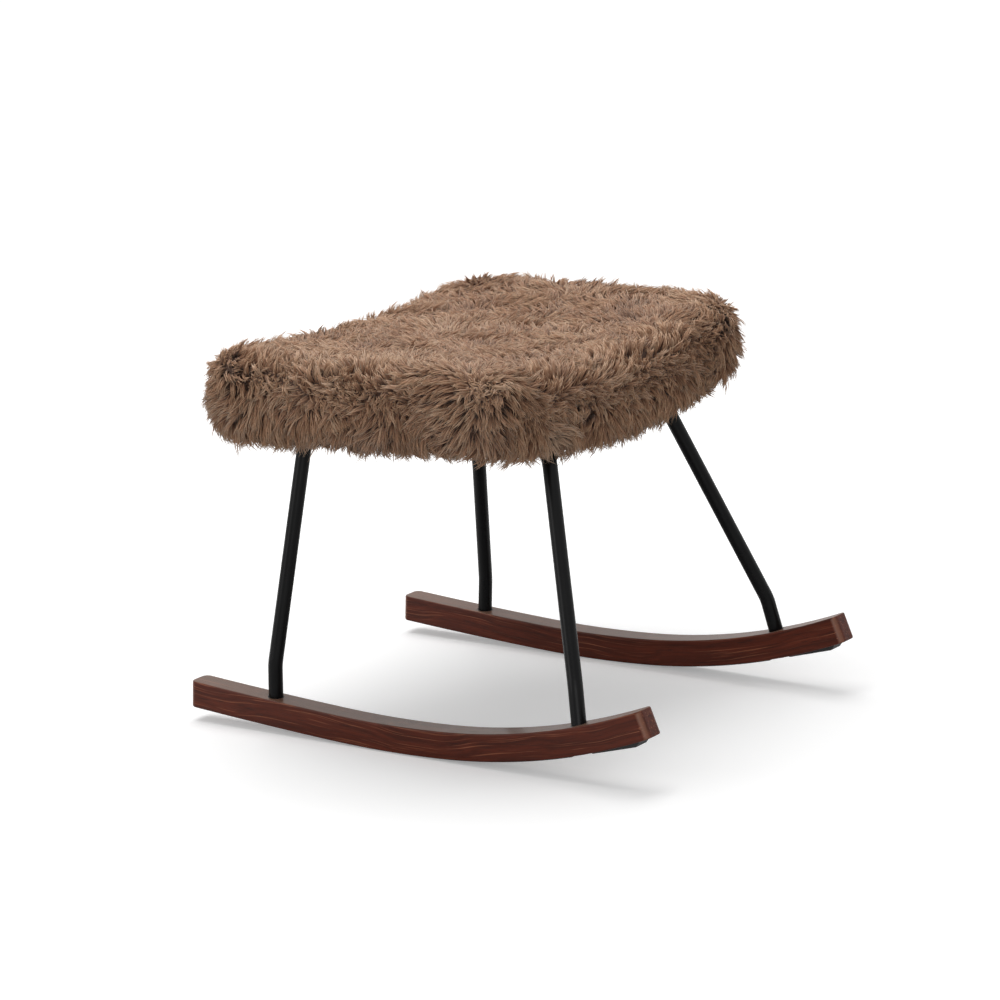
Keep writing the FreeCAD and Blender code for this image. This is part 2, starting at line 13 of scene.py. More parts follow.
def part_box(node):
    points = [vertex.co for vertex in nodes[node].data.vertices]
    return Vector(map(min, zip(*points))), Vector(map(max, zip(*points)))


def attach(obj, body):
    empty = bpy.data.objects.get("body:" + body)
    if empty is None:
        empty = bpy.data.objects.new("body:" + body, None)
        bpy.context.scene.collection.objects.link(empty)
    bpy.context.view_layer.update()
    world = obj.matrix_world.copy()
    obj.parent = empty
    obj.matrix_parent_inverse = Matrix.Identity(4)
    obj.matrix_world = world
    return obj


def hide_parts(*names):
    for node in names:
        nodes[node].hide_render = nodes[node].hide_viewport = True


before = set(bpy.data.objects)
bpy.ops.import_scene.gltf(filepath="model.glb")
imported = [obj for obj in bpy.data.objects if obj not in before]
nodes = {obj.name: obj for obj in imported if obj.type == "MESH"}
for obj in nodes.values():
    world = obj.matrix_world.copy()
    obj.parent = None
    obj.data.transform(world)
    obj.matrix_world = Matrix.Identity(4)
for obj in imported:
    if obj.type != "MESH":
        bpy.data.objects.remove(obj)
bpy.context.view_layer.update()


# Rockers: two bent bars of beech, stained a dark reddish brown and lacquered satin, with rounded
# upright edges at both ends, which carry a lighter painted highlight. The grain follows the bend,
# with fine open pores along it, and the top faces carry a greyer painted reflection.
class Value:
    """One value in a finish's node tree, so that its maths reads as plain arithmetic."""

    def __init__(self, finish, socket):
        self.finish = finish
        self.socket = socket

    def maths(self, operation, first, second=0.0):
        made = self.finish.node("Math", {"operation": operation}, {0: first, 1: second})
        return Value(self.finish, made.outputs["Value"])

    def __add__(self, other):
        return self.maths("ADD", self, other)

    def __radd__(self, other):
        return self.maths("ADD", other, self)

    def __sub__(self, other):
        return self.maths("SUBTRACT", self, other)

    def __rsub__(self, other):
        return self.maths("SUBTRACT", other, self)

    def __mul__(self, other):
        return self.maths("MULTIPLY", self, other)

    def __rmul__(self, other):
        return self.maths("MULTIPLY", other, self)

    def __pow__(self, other):
        return self.maths("POWER", self, other)

    def __gt__(self, other):
        return self.maths("GREATER_THAN", self, other)

    def least(self, other):
        return self.maths("MINIMUM", self, other)

    def between(self, low, high):
        """0 below low, 1 above high, and an even rise between them."""
        made = self.finish.node("MapRange", {}, {"Value": self, "From Min": low, "From Max": high})
        return Value(self.finish, made.outputs["Result"])


class Finish:
    """The node tree of one finish of the stool."""

    def __init__(self, name):
        self.material = bpy.data.materials.new(name)
        self.material.use_nodes = True
        self.tree = self.material.node_tree
        self.surface = self.tree.nodes["Principled BSDF"]
        place = self.node("TexCoord").outputs["Object"]
        self.place = place
        self.x, self.y, self.z = self.split(place)

    def node(self, kind, settings=None, inputs=None):
        """A node of this kind, with its settings made first and then its sockets' values or links."""
        made = self.tree.nodes.new("ShaderNode" + kind)
        for name, value in (settings or {}).items():
            if name == "stops":
                ramp = made.color_ramp.elements
                while len(ramp) < len(value):
                    ramp.new(1.0)
                for element, (position, colour) in zip(ramp, value):
                    element.position = position
                    element.color = (*colour, 1.0)
            else:
                setattr(made, name, value)
        for name, value in (inputs or {}).items():
            socket = made.inputs[name]
            if isinstance(value, Value):
                value = value.socket
            if isinstance(value, bpy.types.NodeSocket):
                self.tree.links.new(value, socket)
            elif isinstance(value, tuple) and len(value) == 3 and socket.type == "RGBA":
                socket.default_value = (*value, 1.0)
            else:
                socket.default_value = value
        return made

    def split(self, vector):
        parts = self.node("SeparateXYZ", {}, {"Vector": vector}).outputs
        return (Value(self, parts[axis]) for axis in "XYZ")

    def vector(self, x, y, z):
        return self.node("CombineXYZ", {}, {"X": x, "Y": y, "Z": z}).outputs["Vector"]

    def noise(self, vector, scale, detail=3.0, roughness=0.55):
        made = self.node("TexNoise", {}, {"Vector": vector, "Scale": scale, "Detail": detail,
                                          "Roughness": roughness})
        return Value(self, made.outputs["Fac"])

    def ramp(self, value, stops):
        return self.node("ValToRGB", {"stops": stops}, {"Fac": value}).outputs["Color"]

    def mix(self, share, first, second):
        made = self.node("Mix", {"data_type": "RGBA"}, {"Factor": share, "A": first, "B": second})
        return made.outputs["Result"]

    def bump(self, height, distance, strength=1.0):
        made = self.node("Bump", {}, {"Height": height, "Distance": distance, "Strength": strength})
        return made.outputs["Normal"]

    def surface_is(self, **sockets):
        """Sets or links the shader's sockets, named with underscores for spaces."""
        for name, value in sockets.items():
            socket = self.surface.inputs[name.replace("_", " ")]
            if isinstance(value, Value):
                value = value.socket
            if isinstance(value, bpy.types.NodeSocket):
                self.tree.links.new(value, socket)
            elif isinstance(value, tuple):
                socket.default_value = (*value, 1.0)
            else:
                socket.default_value = value

    def cover(self, *pieces):
        """Puts the finish on new pieces, or on carried-over nodes in place of their plain one."""
        for piece in pieces:
            if piece.material_slots:
                for slot in piece.material_slots:
                    slot.material = self.material
            else:
                piece.data.materials.append(self.material)


def srgb(red, green, blue):
    """A colour as the shader wants it, from the eight-bit values that a picture shows."""
    shares = [c / 255.0 for c in (red, green, blue)]
    return tuple(c / 12.92 if c <= 0.04045 else ((c + 0.055) / 1.055) ** 2.4 for c in shares)


rest_x = -0.03095
rocker_underside = 0.0012
rocker_middle_radius = 1.430
rocker_nose_radius = 0.800
rocker_middle_front = 0.068
rocker_tail_x = -0.106
rocker_tail_slope = -0.0585
figure_along = 4.0
figure_across = 160.0
figure_sway = 7.0
streak_along = 9.0
streak_across = 600.0
streak_sway = 22.0
pore_along = 45.0
pore_across = 1700.0

nose_turn = rocker_middle_front / rocker_middle_radius
nose_start_x = rest_x + rocker_middle_radius * math.sin(nose_turn)
centre_gap = rocker_middle_radius - rocker_nose_radius
nose_centre_x = rest_x + centre_gap * math.sin(nose_turn)
nose_centre_z = rocker_underside + rocker_middle_radius - centre_gap * math.cos(nose_turn)
middle_centre_z = rocker_underside + rocker_middle_radius

wood = Finish("stained_beech")
to_nose_x = wood.x - nose_centre_x
to_nose_z = nose_centre_z - wood.z
nose_lift = rocker_nose_radius - (to_nose_x * to_nose_x + to_nose_z * to_nose_z) ** 0.5
to_rest_x = wood.x - rest_x
to_middle_z = middle_centre_z - wood.z
middle_lift = rocker_middle_radius - (to_rest_x * to_rest_x + to_middle_z * to_middle_z) ** 0.5
tail_reach = wood.x - rocker_tail_x
tail_base = rocker_tail_slope * tail_reach
tail_start_z = rocker_underside + (rocker_tail_x - rest_x) ** 2 / (2.0 * rocker_middle_radius)
tail_lift = wood.z - tail_start_z - tail_base
on_nose = wood.x > nose_start_x
before_tail = wood.x > rocker_tail_x
rear_lift = before_tail * middle_lift + (1.0 - before_tail) * tail_lift
lift = on_nose * nose_lift + (1.0 - on_nose) * rear_lift

wander = wood.noise(wood.vector(wood.x * 5.0, wood.y * 8.0, lift * 8.0), 1.0, 2.0) - 0.5
sway = wander * figure_sway
figure_place = wood.vector(wood.x * figure_along, wood.y * figure_across + sway,
                           lift * figure_across + sway)
figure = wood.noise(figure_place, 1.0, 4.0, 0.6)
streak_place = wood.vector(wood.x * streak_along, wood.y * streak_across,
                           lift * streak_across + wander * streak_sway)
streaks = wood.noise(streak_place, 1.0, 3.0)
pore_place = wood.vector(wood.x * pore_along, wood.y * pore_across, lift * pore_across)
pores = wood.noise(pore_place, 1.0, 2.0).between(0.58, 0.70)
ground = wood.ramp(figure, [(0.30, srgb(66, 25, 13)), (0.50, srgb(84, 34, 19)),
                            (0.70, srgb(100, 43, 26))])
flecked = wood.mix(streaks.between(0.58, 0.72) * 0.70, ground, srgb(172, 106, 76))
pored = wood.mix(pores * 0.6, flecked, srgb(30, 12, 8))
facing = wood.node("TexCoord").outputs["Normal"]
face_x, face_y, face_z = wood.split(facing)
# Painted reflection: faces that look upwards are mixed towards a grey brown.
with_painted_top_reflection = wood.mix(face_z.between(0.75, 0.95) * 0.5, pored, srgb(126, 106, 90))
# Painted highlight: the rounded upright edges at the ends are mixed towards a light brown.
rounding = (face_x * face_x * face_y * face_y) ** 0.5
with_painted_edge_highlight = wood.mix(rounding.between(0.22, 0.46) * 0.5, with_painted_top_reflection, srgb(158, 112, 90))
wood.surface_is(Base_Color=with_painted_edge_highlight, Roughness=0.34 + streaks * 0.10 + pores * 0.15, IOR=1.45,
                Specular_IOR_Level=0.12, Coat_Weight=0.20, Coat_Roughness=0.12,
                Normal=wood.bump(0.0 - pores - streaks * 0.3, 0.00012, 0.5))
wood.cover(nodes["rocker_left"], nodes["rocker_right"])


# Side tubes and cross bars: 16 mm steel tube, one bent length a side, and two flat bars under the
# board, welded together and powder-coated black. The coat is satin, with a very fine texture.
steel = Finish("black_powder_coat")
grain = steel.noise(steel.place, 2600.0, 2.0)
cloudy = steel.noise(steel.place, 34.0, 3.0)
steel.surface_is(Base_Color=steel.ramp(cloudy, [(0.3, srgb(6, 6, 7)), (0.7, srgb(11, 11, 12))]),
                 Roughness=0.24 + cloudy * 0.08, IOR=1.45, Specular_IOR_Level=0.17,
                 Normal=steel.bump(grain, 0.00004, 0.35))
steel.cover(nodes["side_tube_left"], nodes["side_tube_right"], nodes["cross_bar_rear"],
            nodes["cross_bar_front"])


# Sleeves: thin black plastic rings in the rockers' sockets, which show as a dark line round each
# tube where it enters the wood; their black is also painted shade for the gap round the tube there.
ring_plastic = Finish("sleeve_plastic")
ring_grain = ring_plastic.noise(ring_plastic.place, 900.0, 2.0)
sleeve_black_and_painted_gap_shade = ring_plastic.ramp(ring_grain, [(0.3, srgb(14, 14, 14)), (0.7, srgb(22, 21, 21))])
ring_plastic.surface_is(Base_Color=sleeve_black_and_painted_gap_shade, Roughness=0.55 + ring_grain * 0.1,
                        Normal=ring_plastic.bump(ring_grain, 0.00005, 0.3))
ring_plastic.cover(nodes["leg_sleeves"])


# Hardware: zinc-plated bolts, washers, plugs, tee nuts and staples, with the dull, slightly
# mottled shine of plain fasteners.
zinc = Finish("zinc_plate")
mottle = zinc.noise(zinc.place, 420.0, 4.0, 0.65)
scuffs = zinc.noise(zinc.vector(zinc.x * 300.0, zinc.y * 2400.0, zinc.z * 300.0), 1.0, 2.0)
zinc.surface_is(Base_Color=zinc.ramp(mottle, [(0.3, srgb(150, 151, 152)), (0.7, srgb(196, 197, 196))]),
                Metallic=1.0, Roughness=0.30 + mottle * 0.2 + scuffs * 0.1,
                Normal=zinc.bump(scuffs, 0.00003, 0.3))
zinc.cover(*(nodes[name] for name in ("leg_end_plugs", "leg_bolts", "leg_washers", "seat_bolts",
                                      "seat_washers", "tee_nuts", "cover_staples", "dust_staples")))


# Glide strips: pressed dark felt, matted and a little fuzzy, glued under the middle of each rocker
# so that the wood doesn't scrape the floor as the stool rolls.
felt = Finish("glide_felt")
matted = felt.noise(felt.place, 1500.0, 5.0, 0.7)
fuzz = felt.noise(felt.place, 5200.0, 2.0)
felt.surface_is(Base_Color=felt.ramp(matted, [(0.3, srgb(30, 27, 25)), (0.7, srgb(58, 52, 48))]),
                Roughness=0.88 + fuzz * 0.1, Sheen_Weight=0.3, Sheen_Roughness=0.6,
                Normal=felt.bump(matted + fuzz * 0.6, 0.0003, 0.8))
felt.cover(nodes["glide_strip_left"], nodes["glide_strip_right"])


# Stop pads: moulded dark rubber wedges under the upturned ends, matt, with the faint pits and
# dusty scuffs of moulded rubber.
rubber = Finish("stop_rubber")
pits = rubber.noise(rubber.place, 1100.0, 3.0, 0.6)
dusty = rubber.noise(rubber.place, 60.0, 4.0, 0.6).between(0.45, 0.75)
rubber.surface_is(Base_Color=rubber.mix(dusty * 0.5, srgb(27, 26, 26), srgb(52, 49, 46)),
                  Roughness=0.62 + dusty * 0.2, Normal=rubber.bump(pits, 0.00012, 0.5))
rubber.cover(nodes["stop_pad_left"], nodes["stop_pad_right"])


# Seat board: bent birch plywood, 10 mm, sanded and left bare, with pale and darker plies at its
# edges and a plain rotary-cut figure on its faces.
ply = Finish("birch_plywood")
board_dish_radius = 1.310
board_height = 0.351
ply_thickness = 0.0014
board_depth = ply.z - board_height - ply.y * ply.y * (0.5 / board_dish_radius)
layer = ply.node("Math", {"operation": "PINGPONG"}, {0: board_depth, 1: ply_thickness}).outputs["Value"]
dark_layer = Value(ply, layer).between(ply_thickness * 0.35, ply_thickness * 0.65)
curl = ply.noise(ply.vector(ply.x * 9.0, ply.y * 60.0, ply.z * 9.0), 1.0, 4.0, 0.6)
face = ply.ramp(curl, [(0.3, srgb(186, 152, 108)), (0.7, srgb(216, 186, 142))])
ply.surface_is(Base_Color=ply.mix(dark_layer * 0.35, face, srgb(140, 102, 66)),
               Roughness=0.60 + curl * 0.15, Normal=ply.bump(curl, 0.0002, 0.4))
ply.cover(nodes["seat_board"])


# Foam and wadding: a cream foam block glued on the board, and white polyester wadding round it.
# Both are hidden by the fur. Each is the solid's own form, remeshed, eased and made slightly uneven.
lump_height = 1.5


def soft_filling(name, node, voxel, unevenness):
    """A padded piece in the form of the solid that it replaces, with its lumps kept inside it."""
    piece = bpy.data.objects.new(name, nodes[node].data.copy())
    bpy.context.scene.collection.objects.link(piece)
    bpy.ops.object.select_all(action="DESELECT")
    piece.select_set(True)
    bpy.context.view_layer.objects.active = piece
    bpy.ops.object.mode_set(mode="EDIT")
    bpy.ops.mesh.select_all(action="SELECT")
    bpy.ops.mesh.remove_doubles(threshold=0.00001)
    bpy.ops.object.mode_set(mode="OBJECT")
    remesh = piece.modifiers.new("even_mesh", "REMESH")
    remesh.mode = "VOXEL"
    remesh.voxel_size = voxel
    bpy.ops.object.modifier_apply(modifier=remesh.name)
    ease = piece.modifiers.new("eased", "SMOOTH")
    ease.iterations = 6
    bpy.ops.object.modifier_apply(modifier=ease.name)
    points = np.empty(len(piece.data.vertices) * 3, np.float32)
    outwards = np.empty(len(piece.data.vertices) * 3, np.float32)
    piece.data.vertices.foreach_get("co", points)
    piece.data.vertex_normals.foreach_get("vector", outwards)
    points, outwards = points.reshape(-1, 3), outwards.reshape(-1, 3)
    x, y = points[:, 0], points[:, 1]
    lumps = np.sin(x * 71.0 + 1.3) * np.sin(y * 53.0) + 0.5 * np.sin((x + y) * 167.0)
    points += outwards * (lumps[:, None] - lump_height) * unevenness
    piece.data.vertices.foreach_set("co", points.ravel())
    piece.data.update()
    bpy.ops.object.shade_smooth()
    piece.data.materials.clear()
    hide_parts(node)
    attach(piece, "root")
    return piece


foam_block = soft_filling("foam_block", "foam_core", 0.006, 0.0002)
foam = Finish("cushion_foam")
cells = foam.node("TexVoronoi", {}, {"Vector": foam.place, "Scale": 900.0}).outputs["Distance"]
open_cells = Value(foam, cells)
foam_cream = foam.ramp(open_cells, [(0.1, srgb(208, 192, 146)), (0.6, srgb(232, 220, 184))])
foam.surface_is(Base_Color=foam_cream, Roughness=0.9, Normal=foam.bump(open_cells, 0.0005, 0.7))
foam.cover(foam_block)

wadding = soft_filling("wadding_wrap", "wadding_layer", 0.0025, 0.0001)
fleece = Finish("polyester_wadding")
fibres = fleece.noise(fleece.place, 700.0, 6.0, 0.75)
fleece_white = fleece.ramp(fibres, [(0.3, srgb(214, 214, 210)), (0.7, srgb(242, 242, 240))])
fleece.surface_is(Base_Color=fleece_white, Roughness=0.95, Normal=fleece.bump(fibres, 0.001, 0.8))
fleece.cover(wadding)


# Dust cover: thin black spun-bonded cloth, stapled under the board over the raw edges of the fur
# cover. It sags slightly between the staples, which pull small puckers in its edge.
dust_low, dust_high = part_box("dust_cover")
dust_length = dust_high.x - dust_low.x
dust_width = dust_high.y - dust_low.y
dust_middle = (dust_high.x + dust_low.x) / 2.0
dust_under_radius = board_dish_radius + 0.0007
dust_sag = 0.0012
pucker_depth = 0.0006
pucker_pitch = 0.045
pucker_reach = 0.06
dust_cloth_thickness = 0.0004
dot_pitch = 0.0008

bpy.ops.object.select_all(action="DESELECT")
bpy.ops.mesh.primitive_grid_add(x_subdivisions=70, y_subdivisions=100, size=1.0)
dust_cloth = bpy.context.object
dust_cloth.name = "dust_cloth"
for vertex in dust_cloth.data.vertices:
    across = vertex.co.x * 2.0
    along = vertex.co.y * 2.0
    edge = min(1.0 - abs(across), 1.0 - abs(along))
    x = dust_middle + across * dust_length / 2.0
    y = along * dust_width / 2.0
    pull = math.exp(-edge / pucker_reach)
    wave = math.cos(2.0 * math.pi * (x + y) / pucker_pitch)
    sag = dust_sag * (1.0 - across ** 4) * (1.0 - along ** 4) + pucker_depth * pull * wave
    height = board_height + board_dish_radius - math.sqrt(dust_under_radius ** 2 - y ** 2)
    vertex.co = (x, y, height - max(sag, 0.0))
shell = dust_cloth.modifiers.new("cloth", "SOLIDIFY")
shell.thickness = dust_cloth_thickness
shell.offset = 1.0
bpy.ops.object.modifier_apply(modifier=shell.name)
bpy.ops.object.shade_smooth()
spun = Finish("spun_bonded_cloth")
dots_x = spun.node("Math", {"operation": "PINGPONG"}, {0: spun.x, 1: dot_pitch}).outputs["Value"]
dots_y = spun.node("Math", {"operation": "PINGPONG"}, {0: spun.y, 1: dot_pitch}).outputs["Value"]
pressed_x = Value(spun, dots_x).between(dot_pitch / 2.0, dot_pitch)
pressed_y = Value(spun, dots_y).between(dot_pitch / 2.0, dot_pitch)
pressed = pressed_x * pressed_y
filaments = spun.noise(spun.place, 1800.0, 4.0, 0.7)
spun.surface_is(Base_Color=spun.ramp(filaments, [(0.3, srgb(22, 22, 23)), (0.7, srgb(46, 46, 48))]),
                Roughness=0.85, Normal=spun.bump(filaments - pressed * 0.7, 0.0002, 0.7))
spun.cover(dust_cloth)
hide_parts("dust_cover")
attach(dust_cloth, "root")


# Fur cover: a top panel and a border band of long-pile brown fur, sewn together half way down the
# sides. The pile parts just above that seam and stands out like a star at each top corner. Its tufts
# of curved, tapered hairs grow from a skin coloured dark as painted shade between the tufts, with
# short underfur at the parting and the stars.
top_low, top_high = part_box("fur_top_panel")
pad_x = (top_low.x + top_high.x) / 2.0
pile_depth = 0.0095
skin_half_x = (top_high.x - top_low.x) / 2.0 - pile_depth
skin_half_y = (top_high.y - top_low.y) / 2.0 - pile_depth
skin_corner = 0.050
skin_top = 0.4050
skin_top_radius = 1.500
skin_top_round = 0.025
skin_bottom = 0.3210
skin_bottom_radius = 1.12
skin_bottom_rise = 0.020
skin_bottom_round = 0.020
return_inset = 0.043
return_drop = 0.0045
recess_rows = ((0.030, 0.0015), (0.036, 0.006), (0.041, 0.016))
seam_share = 0.55
outline_points = 260
top_scales = np.linspace(0.02, 1.0, 34)
rim_turns = np.radians(np.arange(12.0, 91.0, 13.0))
fringe_turns = np.radians(np.arange(15.0, 91.0, 15.0))
steps_above_seam = 4
steps_below_seam = 5

fur_seed = 11
draws_for_place = 6.0
cell_key = 4001
tuft_spacing = 0.0055
tuft_radius = 0.0036
hairs_in_tuft = 7
underfur_spacing = 0.0036
underfur_hairs = 3
underfur_length_share = 0.50
underfur_width_share = 1.5
underfur_from = 0.5

ripple_wavelengths = (0.16, 0.11, 0.075, 0.052)
waves_at_length = 2
wave_phase = 6.28
ripple_height = 3.2
turn_ripple, stand_ripple, part_ripple, shade_ripple = 5, 9, 13, 21

part_blend = 0.016
part_above_seam = 0.010
part_wander = 0.012
side_to_top = (0.55, 0.93)
lock_axis = np.array([-0.57, 0.82, 0.0])
cross_axis = np.array([0.82, 0.57, 0.0])
lock_swing = 0.9
lock_pitch = 0.075
lock_bend = 0.6
lock_bend_rate = 25.0
whorl_turn = 1.25
star_reach = 0.065
star_middle = 0.026
star_rim_share = 1.7
mid_round_share = 1.0 - math.sqrt(0.5)
plain_stand = 0.44
part_stand_gain = 0.32
star_stand_gain = 0.30
stand_unevenness = 0.10

hair_length = 0.0235
top_hair_length = 0.0205
tuft_length_spread = 0.16
tousled_shortening = 0.40
plain_lean = 0.15
tousled_lean = 0.9
tousled_loss = 0.75
tuft_stand_spread = 0.07
tuft_shade_drift = 0.7
tuft_shade_spread = 0.7
hair_way_spread = 0.08
hair_stand_spread = 0.07
stand_range = (0.12, 0.98)
shortest_share = 0.78
length_range = 0.40
root_depth = 0.002
least_run_square = 0.05
bend_lift = 0.32
bend_lift_gain = 0.25
bend_run = 0.22
tip_lift = 0.92
tip_gathering = 0.8
tip_droop = 0.10
hair_shade_spread = 0.5

hair_width = 0.00150
thinnest_share = 0.75
width_range = 0.5
hair_rings = ((0.0, 0.85), (0.36, 1.0), (0.72, 0.62))
ridge_share = 0.8
keel_share = 0.35
tube_clearance = 0.0045
tube_margin = 0.01

bake_strip = 0.05
bake_columns = 400
bake_across = (0.5, 0.2, 0.8)
bake_gap = 0.15
bake_reach = 0.7
bake_skin_share = 0.9
bake_closing = 0.9


def unit(vectors):
    return vectors / np.maximum(np.linalg.norm(vectors, axis=-1, keepdims=True), 1e-9)


def dot(first, second):
    return (first * second).sum(axis=-1, keepdims=True)


def smooth_step(value, low, high):
    share = np.clip((value - low) / (high - low), 0.0, 1.0)
    return share * share * (3.0 - 2.0 * share)


def skin_outline():
    """Points round the pad's plan outline at even steps, and the outward directions there."""
    run_x = skin_half_x - skin_corner
    run_y = skin_half_y - skin_corner
    bend = skin_corner * math.pi / 2.0
    lengths = [2.0 * run_y, bend, 2.0 * run_x, bend] * 2
    ends = np.cumsum(lengths)
    points = []
    for step in np.arange(outline_points) / outline_points * ends[-1]:
        side = int(np.searchsorted(ends, step, side="right"))
        share = (step - (ends[side] - lengths[side])) / lengths[side]
        quarter = side // 2 * math.pi / 2.0
        cosine = math.cos(quarter)
        sine = math.sin(quarter)
        spin = np.array([[cosine, -sine], [sine, cosine]])
        half = (skin_half_x, run_y) if side // 2 % 2 == 0 else (skin_half_y, run_x)
        if side % 2:
            turn = quarter + share * math.pi / 2.0
            arm = np.array([math.cos(turn), math.sin(turn)])
            place = spin @ np.array([half[0] - skin_corner, half[1]]) + arm * skin_corner
        else:
            arm = spin @ np.array([1.0, 0.0])
            place = spin @ np.array([half[0], half[1] * (2.0 * share - 1.0)])
        points.append((place, arm))
    return np.array([place for place, arm in points]), np.array([arm for place, arm in points])


outline, outward = skin_outline()


def high_surface(x, y):
    return skin_top + y ** 2 / (2.0 * skin_top_radius)


def low_surface(x, y):
    return skin_bottom + y ** 2 / (2.0 * skin_bottom_radius) + skin_bottom_rise * x


def seam_height(x, y):
    low_edge = low_surface(x, y) + skin_bottom_round
    return low_edge + (high_surface(x, y) - skin_top_round - low_edge) * seam_share


def skin_row(scale, inset, from_top, from_bottom, share):
    """One row of the skin: share 1 hangs from the top surface, 0 stands on the bottom one."""
    plan = (outline - outward * inset) * scale
    x, y = plan[:, 0], plan[:, 1]
    z = share * (high_surface(x, y) - from_top) + (1.0 - share) * (low_surface(x, y) + from_bottom)
    return np.stack([x + pad_x, y, z], axis=1)


def top_rows():
    """The top panel's skin, from its middle over the rim to the seam."""
    rows = [skin_row(scale, skin_top_round, 0.0, 0.0, 1.0) for scale in top_scales]
    for turn in rim_turns:
        rows.append(skin_row(1.0, skin_top_round * (1.0 - math.sin(turn)),
                             skin_top_round * (1.0 - math.cos(turn)), 0.0, 1.0))
    for share in np.linspace(1.0, seam_share, steps_above_seam)[1:]:
        rows.append(skin_row(1.0, 0.0, skin_top_round, skin_bottom_round, share))
    return np.array(rows)


def band_rows():
    """The border band's skin, from the seam under the pad's edge to the staples on the board."""
    rows = [skin_row(1.0, 0.0, skin_top_round, skin_bottom_round, share)
            for share in np.linspace(seam_share, 0.0, steps_below_seam)]
    for turn in fringe_turns:
        rows.append(skin_row(1.0, skin_bottom_round * (1.0 - math.cos(turn)), 0.0,
                             skin_bottom_round * (1.0 - math.sin(turn)), 0.0))
    for inset, rise in recess_rows:
        rows.append(skin_row(1.0, inset, 0.0, rise, 0.0))
    last = skin_row(1.0, return_inset, 0.0, 0.0, 0.0)
    last[:, 2] = board_height + last[:, 1] ** 2 / (2.0 * board_dish_radius) - return_drop
    rows.append(last)
    return np.array(rows)


def skin_normals(rows):
    """Outward directions at the rows' points, from the steps to their neighbours."""
    around = np.roll(rows, -1, axis=1) - np.roll(rows, 1, axis=1)
    down = np.gradient(rows, axis=0)
    return unit(np.cross(down, around))


def sow(rows, normals, spacing, rng):
    """Evenly scattered places on the skin, with their outward directions."""
    a, b = rows[:-1], np.roll(rows[:-1], -1, axis=1)
    c, d = np.roll(rows[1:], -1, axis=1), rows[1:]
    near_half = np.linalg.norm(np.cross(c - a, b - a), axis=2)
    far_half = np.linalg.norm(np.cross(d - a, c - a), axis=2)
    area = (near_half + far_half) / 2.0
    chance = (area / area.sum()).ravel()
    count = int(area.sum() / spacing ** 2 * draws_for_place)
    cell = rng.choice(len(chance), size=count, p=chance)
    i, j = np.divmod(cell, rows.shape[1])
    u, v = rng.random((2, count, 1))
    k = (j + 1) % rows.shape[1]

    def blend(grid):
        return ((1 - u) * (1 - v) * grid[i, j] + u * (1 - v) * grid[i, k]
                + u * v * grid[i + 1, k] + (1 - u) * v * grid[i + 1, j])

    places = blend(rows)
    cells = np.floor(places / spacing).astype(np.int64)
    key = (cells[:, 0] * cell_key + cells[:, 1]) * cell_key + cells[:, 2]
    first = np.unique(key, return_index=True)[1]
    return places[first], unit(blend(normals)[first])


def ripple(places, seed):
    """Smooth unevenness between about -1 and 1."""
    rng = np.random.default_rng(seed)
    total = np.zeros((len(places), 1))
    for wavelength in ripple_wavelengths:
        for _ in range(waves_at_length):
            way = unit(rng.normal(size=3))
            phase = rng.random() * wave_phase
            total += np.sin(places @ way * (2.0 * math.pi / wavelength) + phase)[:, None]
    return total / ripple_height


def star_centres():
    """The middle of the rounding at each of the pad's four top corners."""
    plan_inset = mid_round_share * (skin_corner - skin_top_round)
    rim_inset = mid_round_share * skin_top_round * star_rim_share
    inset = plan_inset + rim_inset
    for sign_x in (1.0, -1.0):
        for sign_y in (1.0, -1.0):
            x = sign_x * (skin_half_x - inset)
            y = sign_y * (skin_half_y - inset)
            z = high_surface(x, y) - mid_round_share * skin_top_round
            yield np.array([x + pad_x, y, z])


def flow(places, normals):
    """The way the hair lies along the skin, how much it stands up, and how tousled it is."""
    local = places - np.array([pad_x, 0.0, 0.0])
    above = (places[:, 2] - seam_height(local[:, 0], local[:, 1]))[:, None]
    above = above - part_above_seam + part_wander * ripple(places, part_ripple)
    upward = unit(np.array([0.0, 0.0, 1.0]) - normals * normals[:, 2:3])
    side_way = upward * np.tanh(above / part_blend)
    bent = lock_bend * np.sin(places @ cross_axis * lock_bend_rate)
    swing = lock_swing * np.sin(2.0 * math.pi * (places @ lock_axis) / lock_pitch + bent)[:, None]
    top_way = lock_axis * np.cos(swing) + cross_axis * np.sin(swing)
    top_way = unit(top_way - normals * dot(top_way, normals))
    flat = smooth_step(normals[:, 2:3], *side_to_top)
    way = side_way * (1.0 - flat) + top_way * flat
    tousled = np.exp(-(above / part_blend) ** 2) * (1.0 - flat)
    stand = plain_stand + part_stand_gain * tousled
    for centre in star_centres():
        away = places - centre
        distance = np.linalg.norm(away, axis=1, keepdims=True)
        near = np.exp(-(distance / star_reach) ** 2)
        radial = unit(away - normals * dot(away, normals))
        way = way * (1.0 - near) + radial * near
        middle = np.exp(-(distance / star_middle) ** 2)
        tousled = np.maximum(tousled * (1.0 - near), middle)
        stand = np.maximum(stand, plain_stand + star_stand_gain * middle)
    turn = whorl_turn * ripple(places, turn_ripple)
    across = np.cross(normals, way)
    way = unit(way * np.cos(turn) + across * np.sin(turn))
    return way, stand + stand_unevenness * ripple(places, stand_ripple), tousled


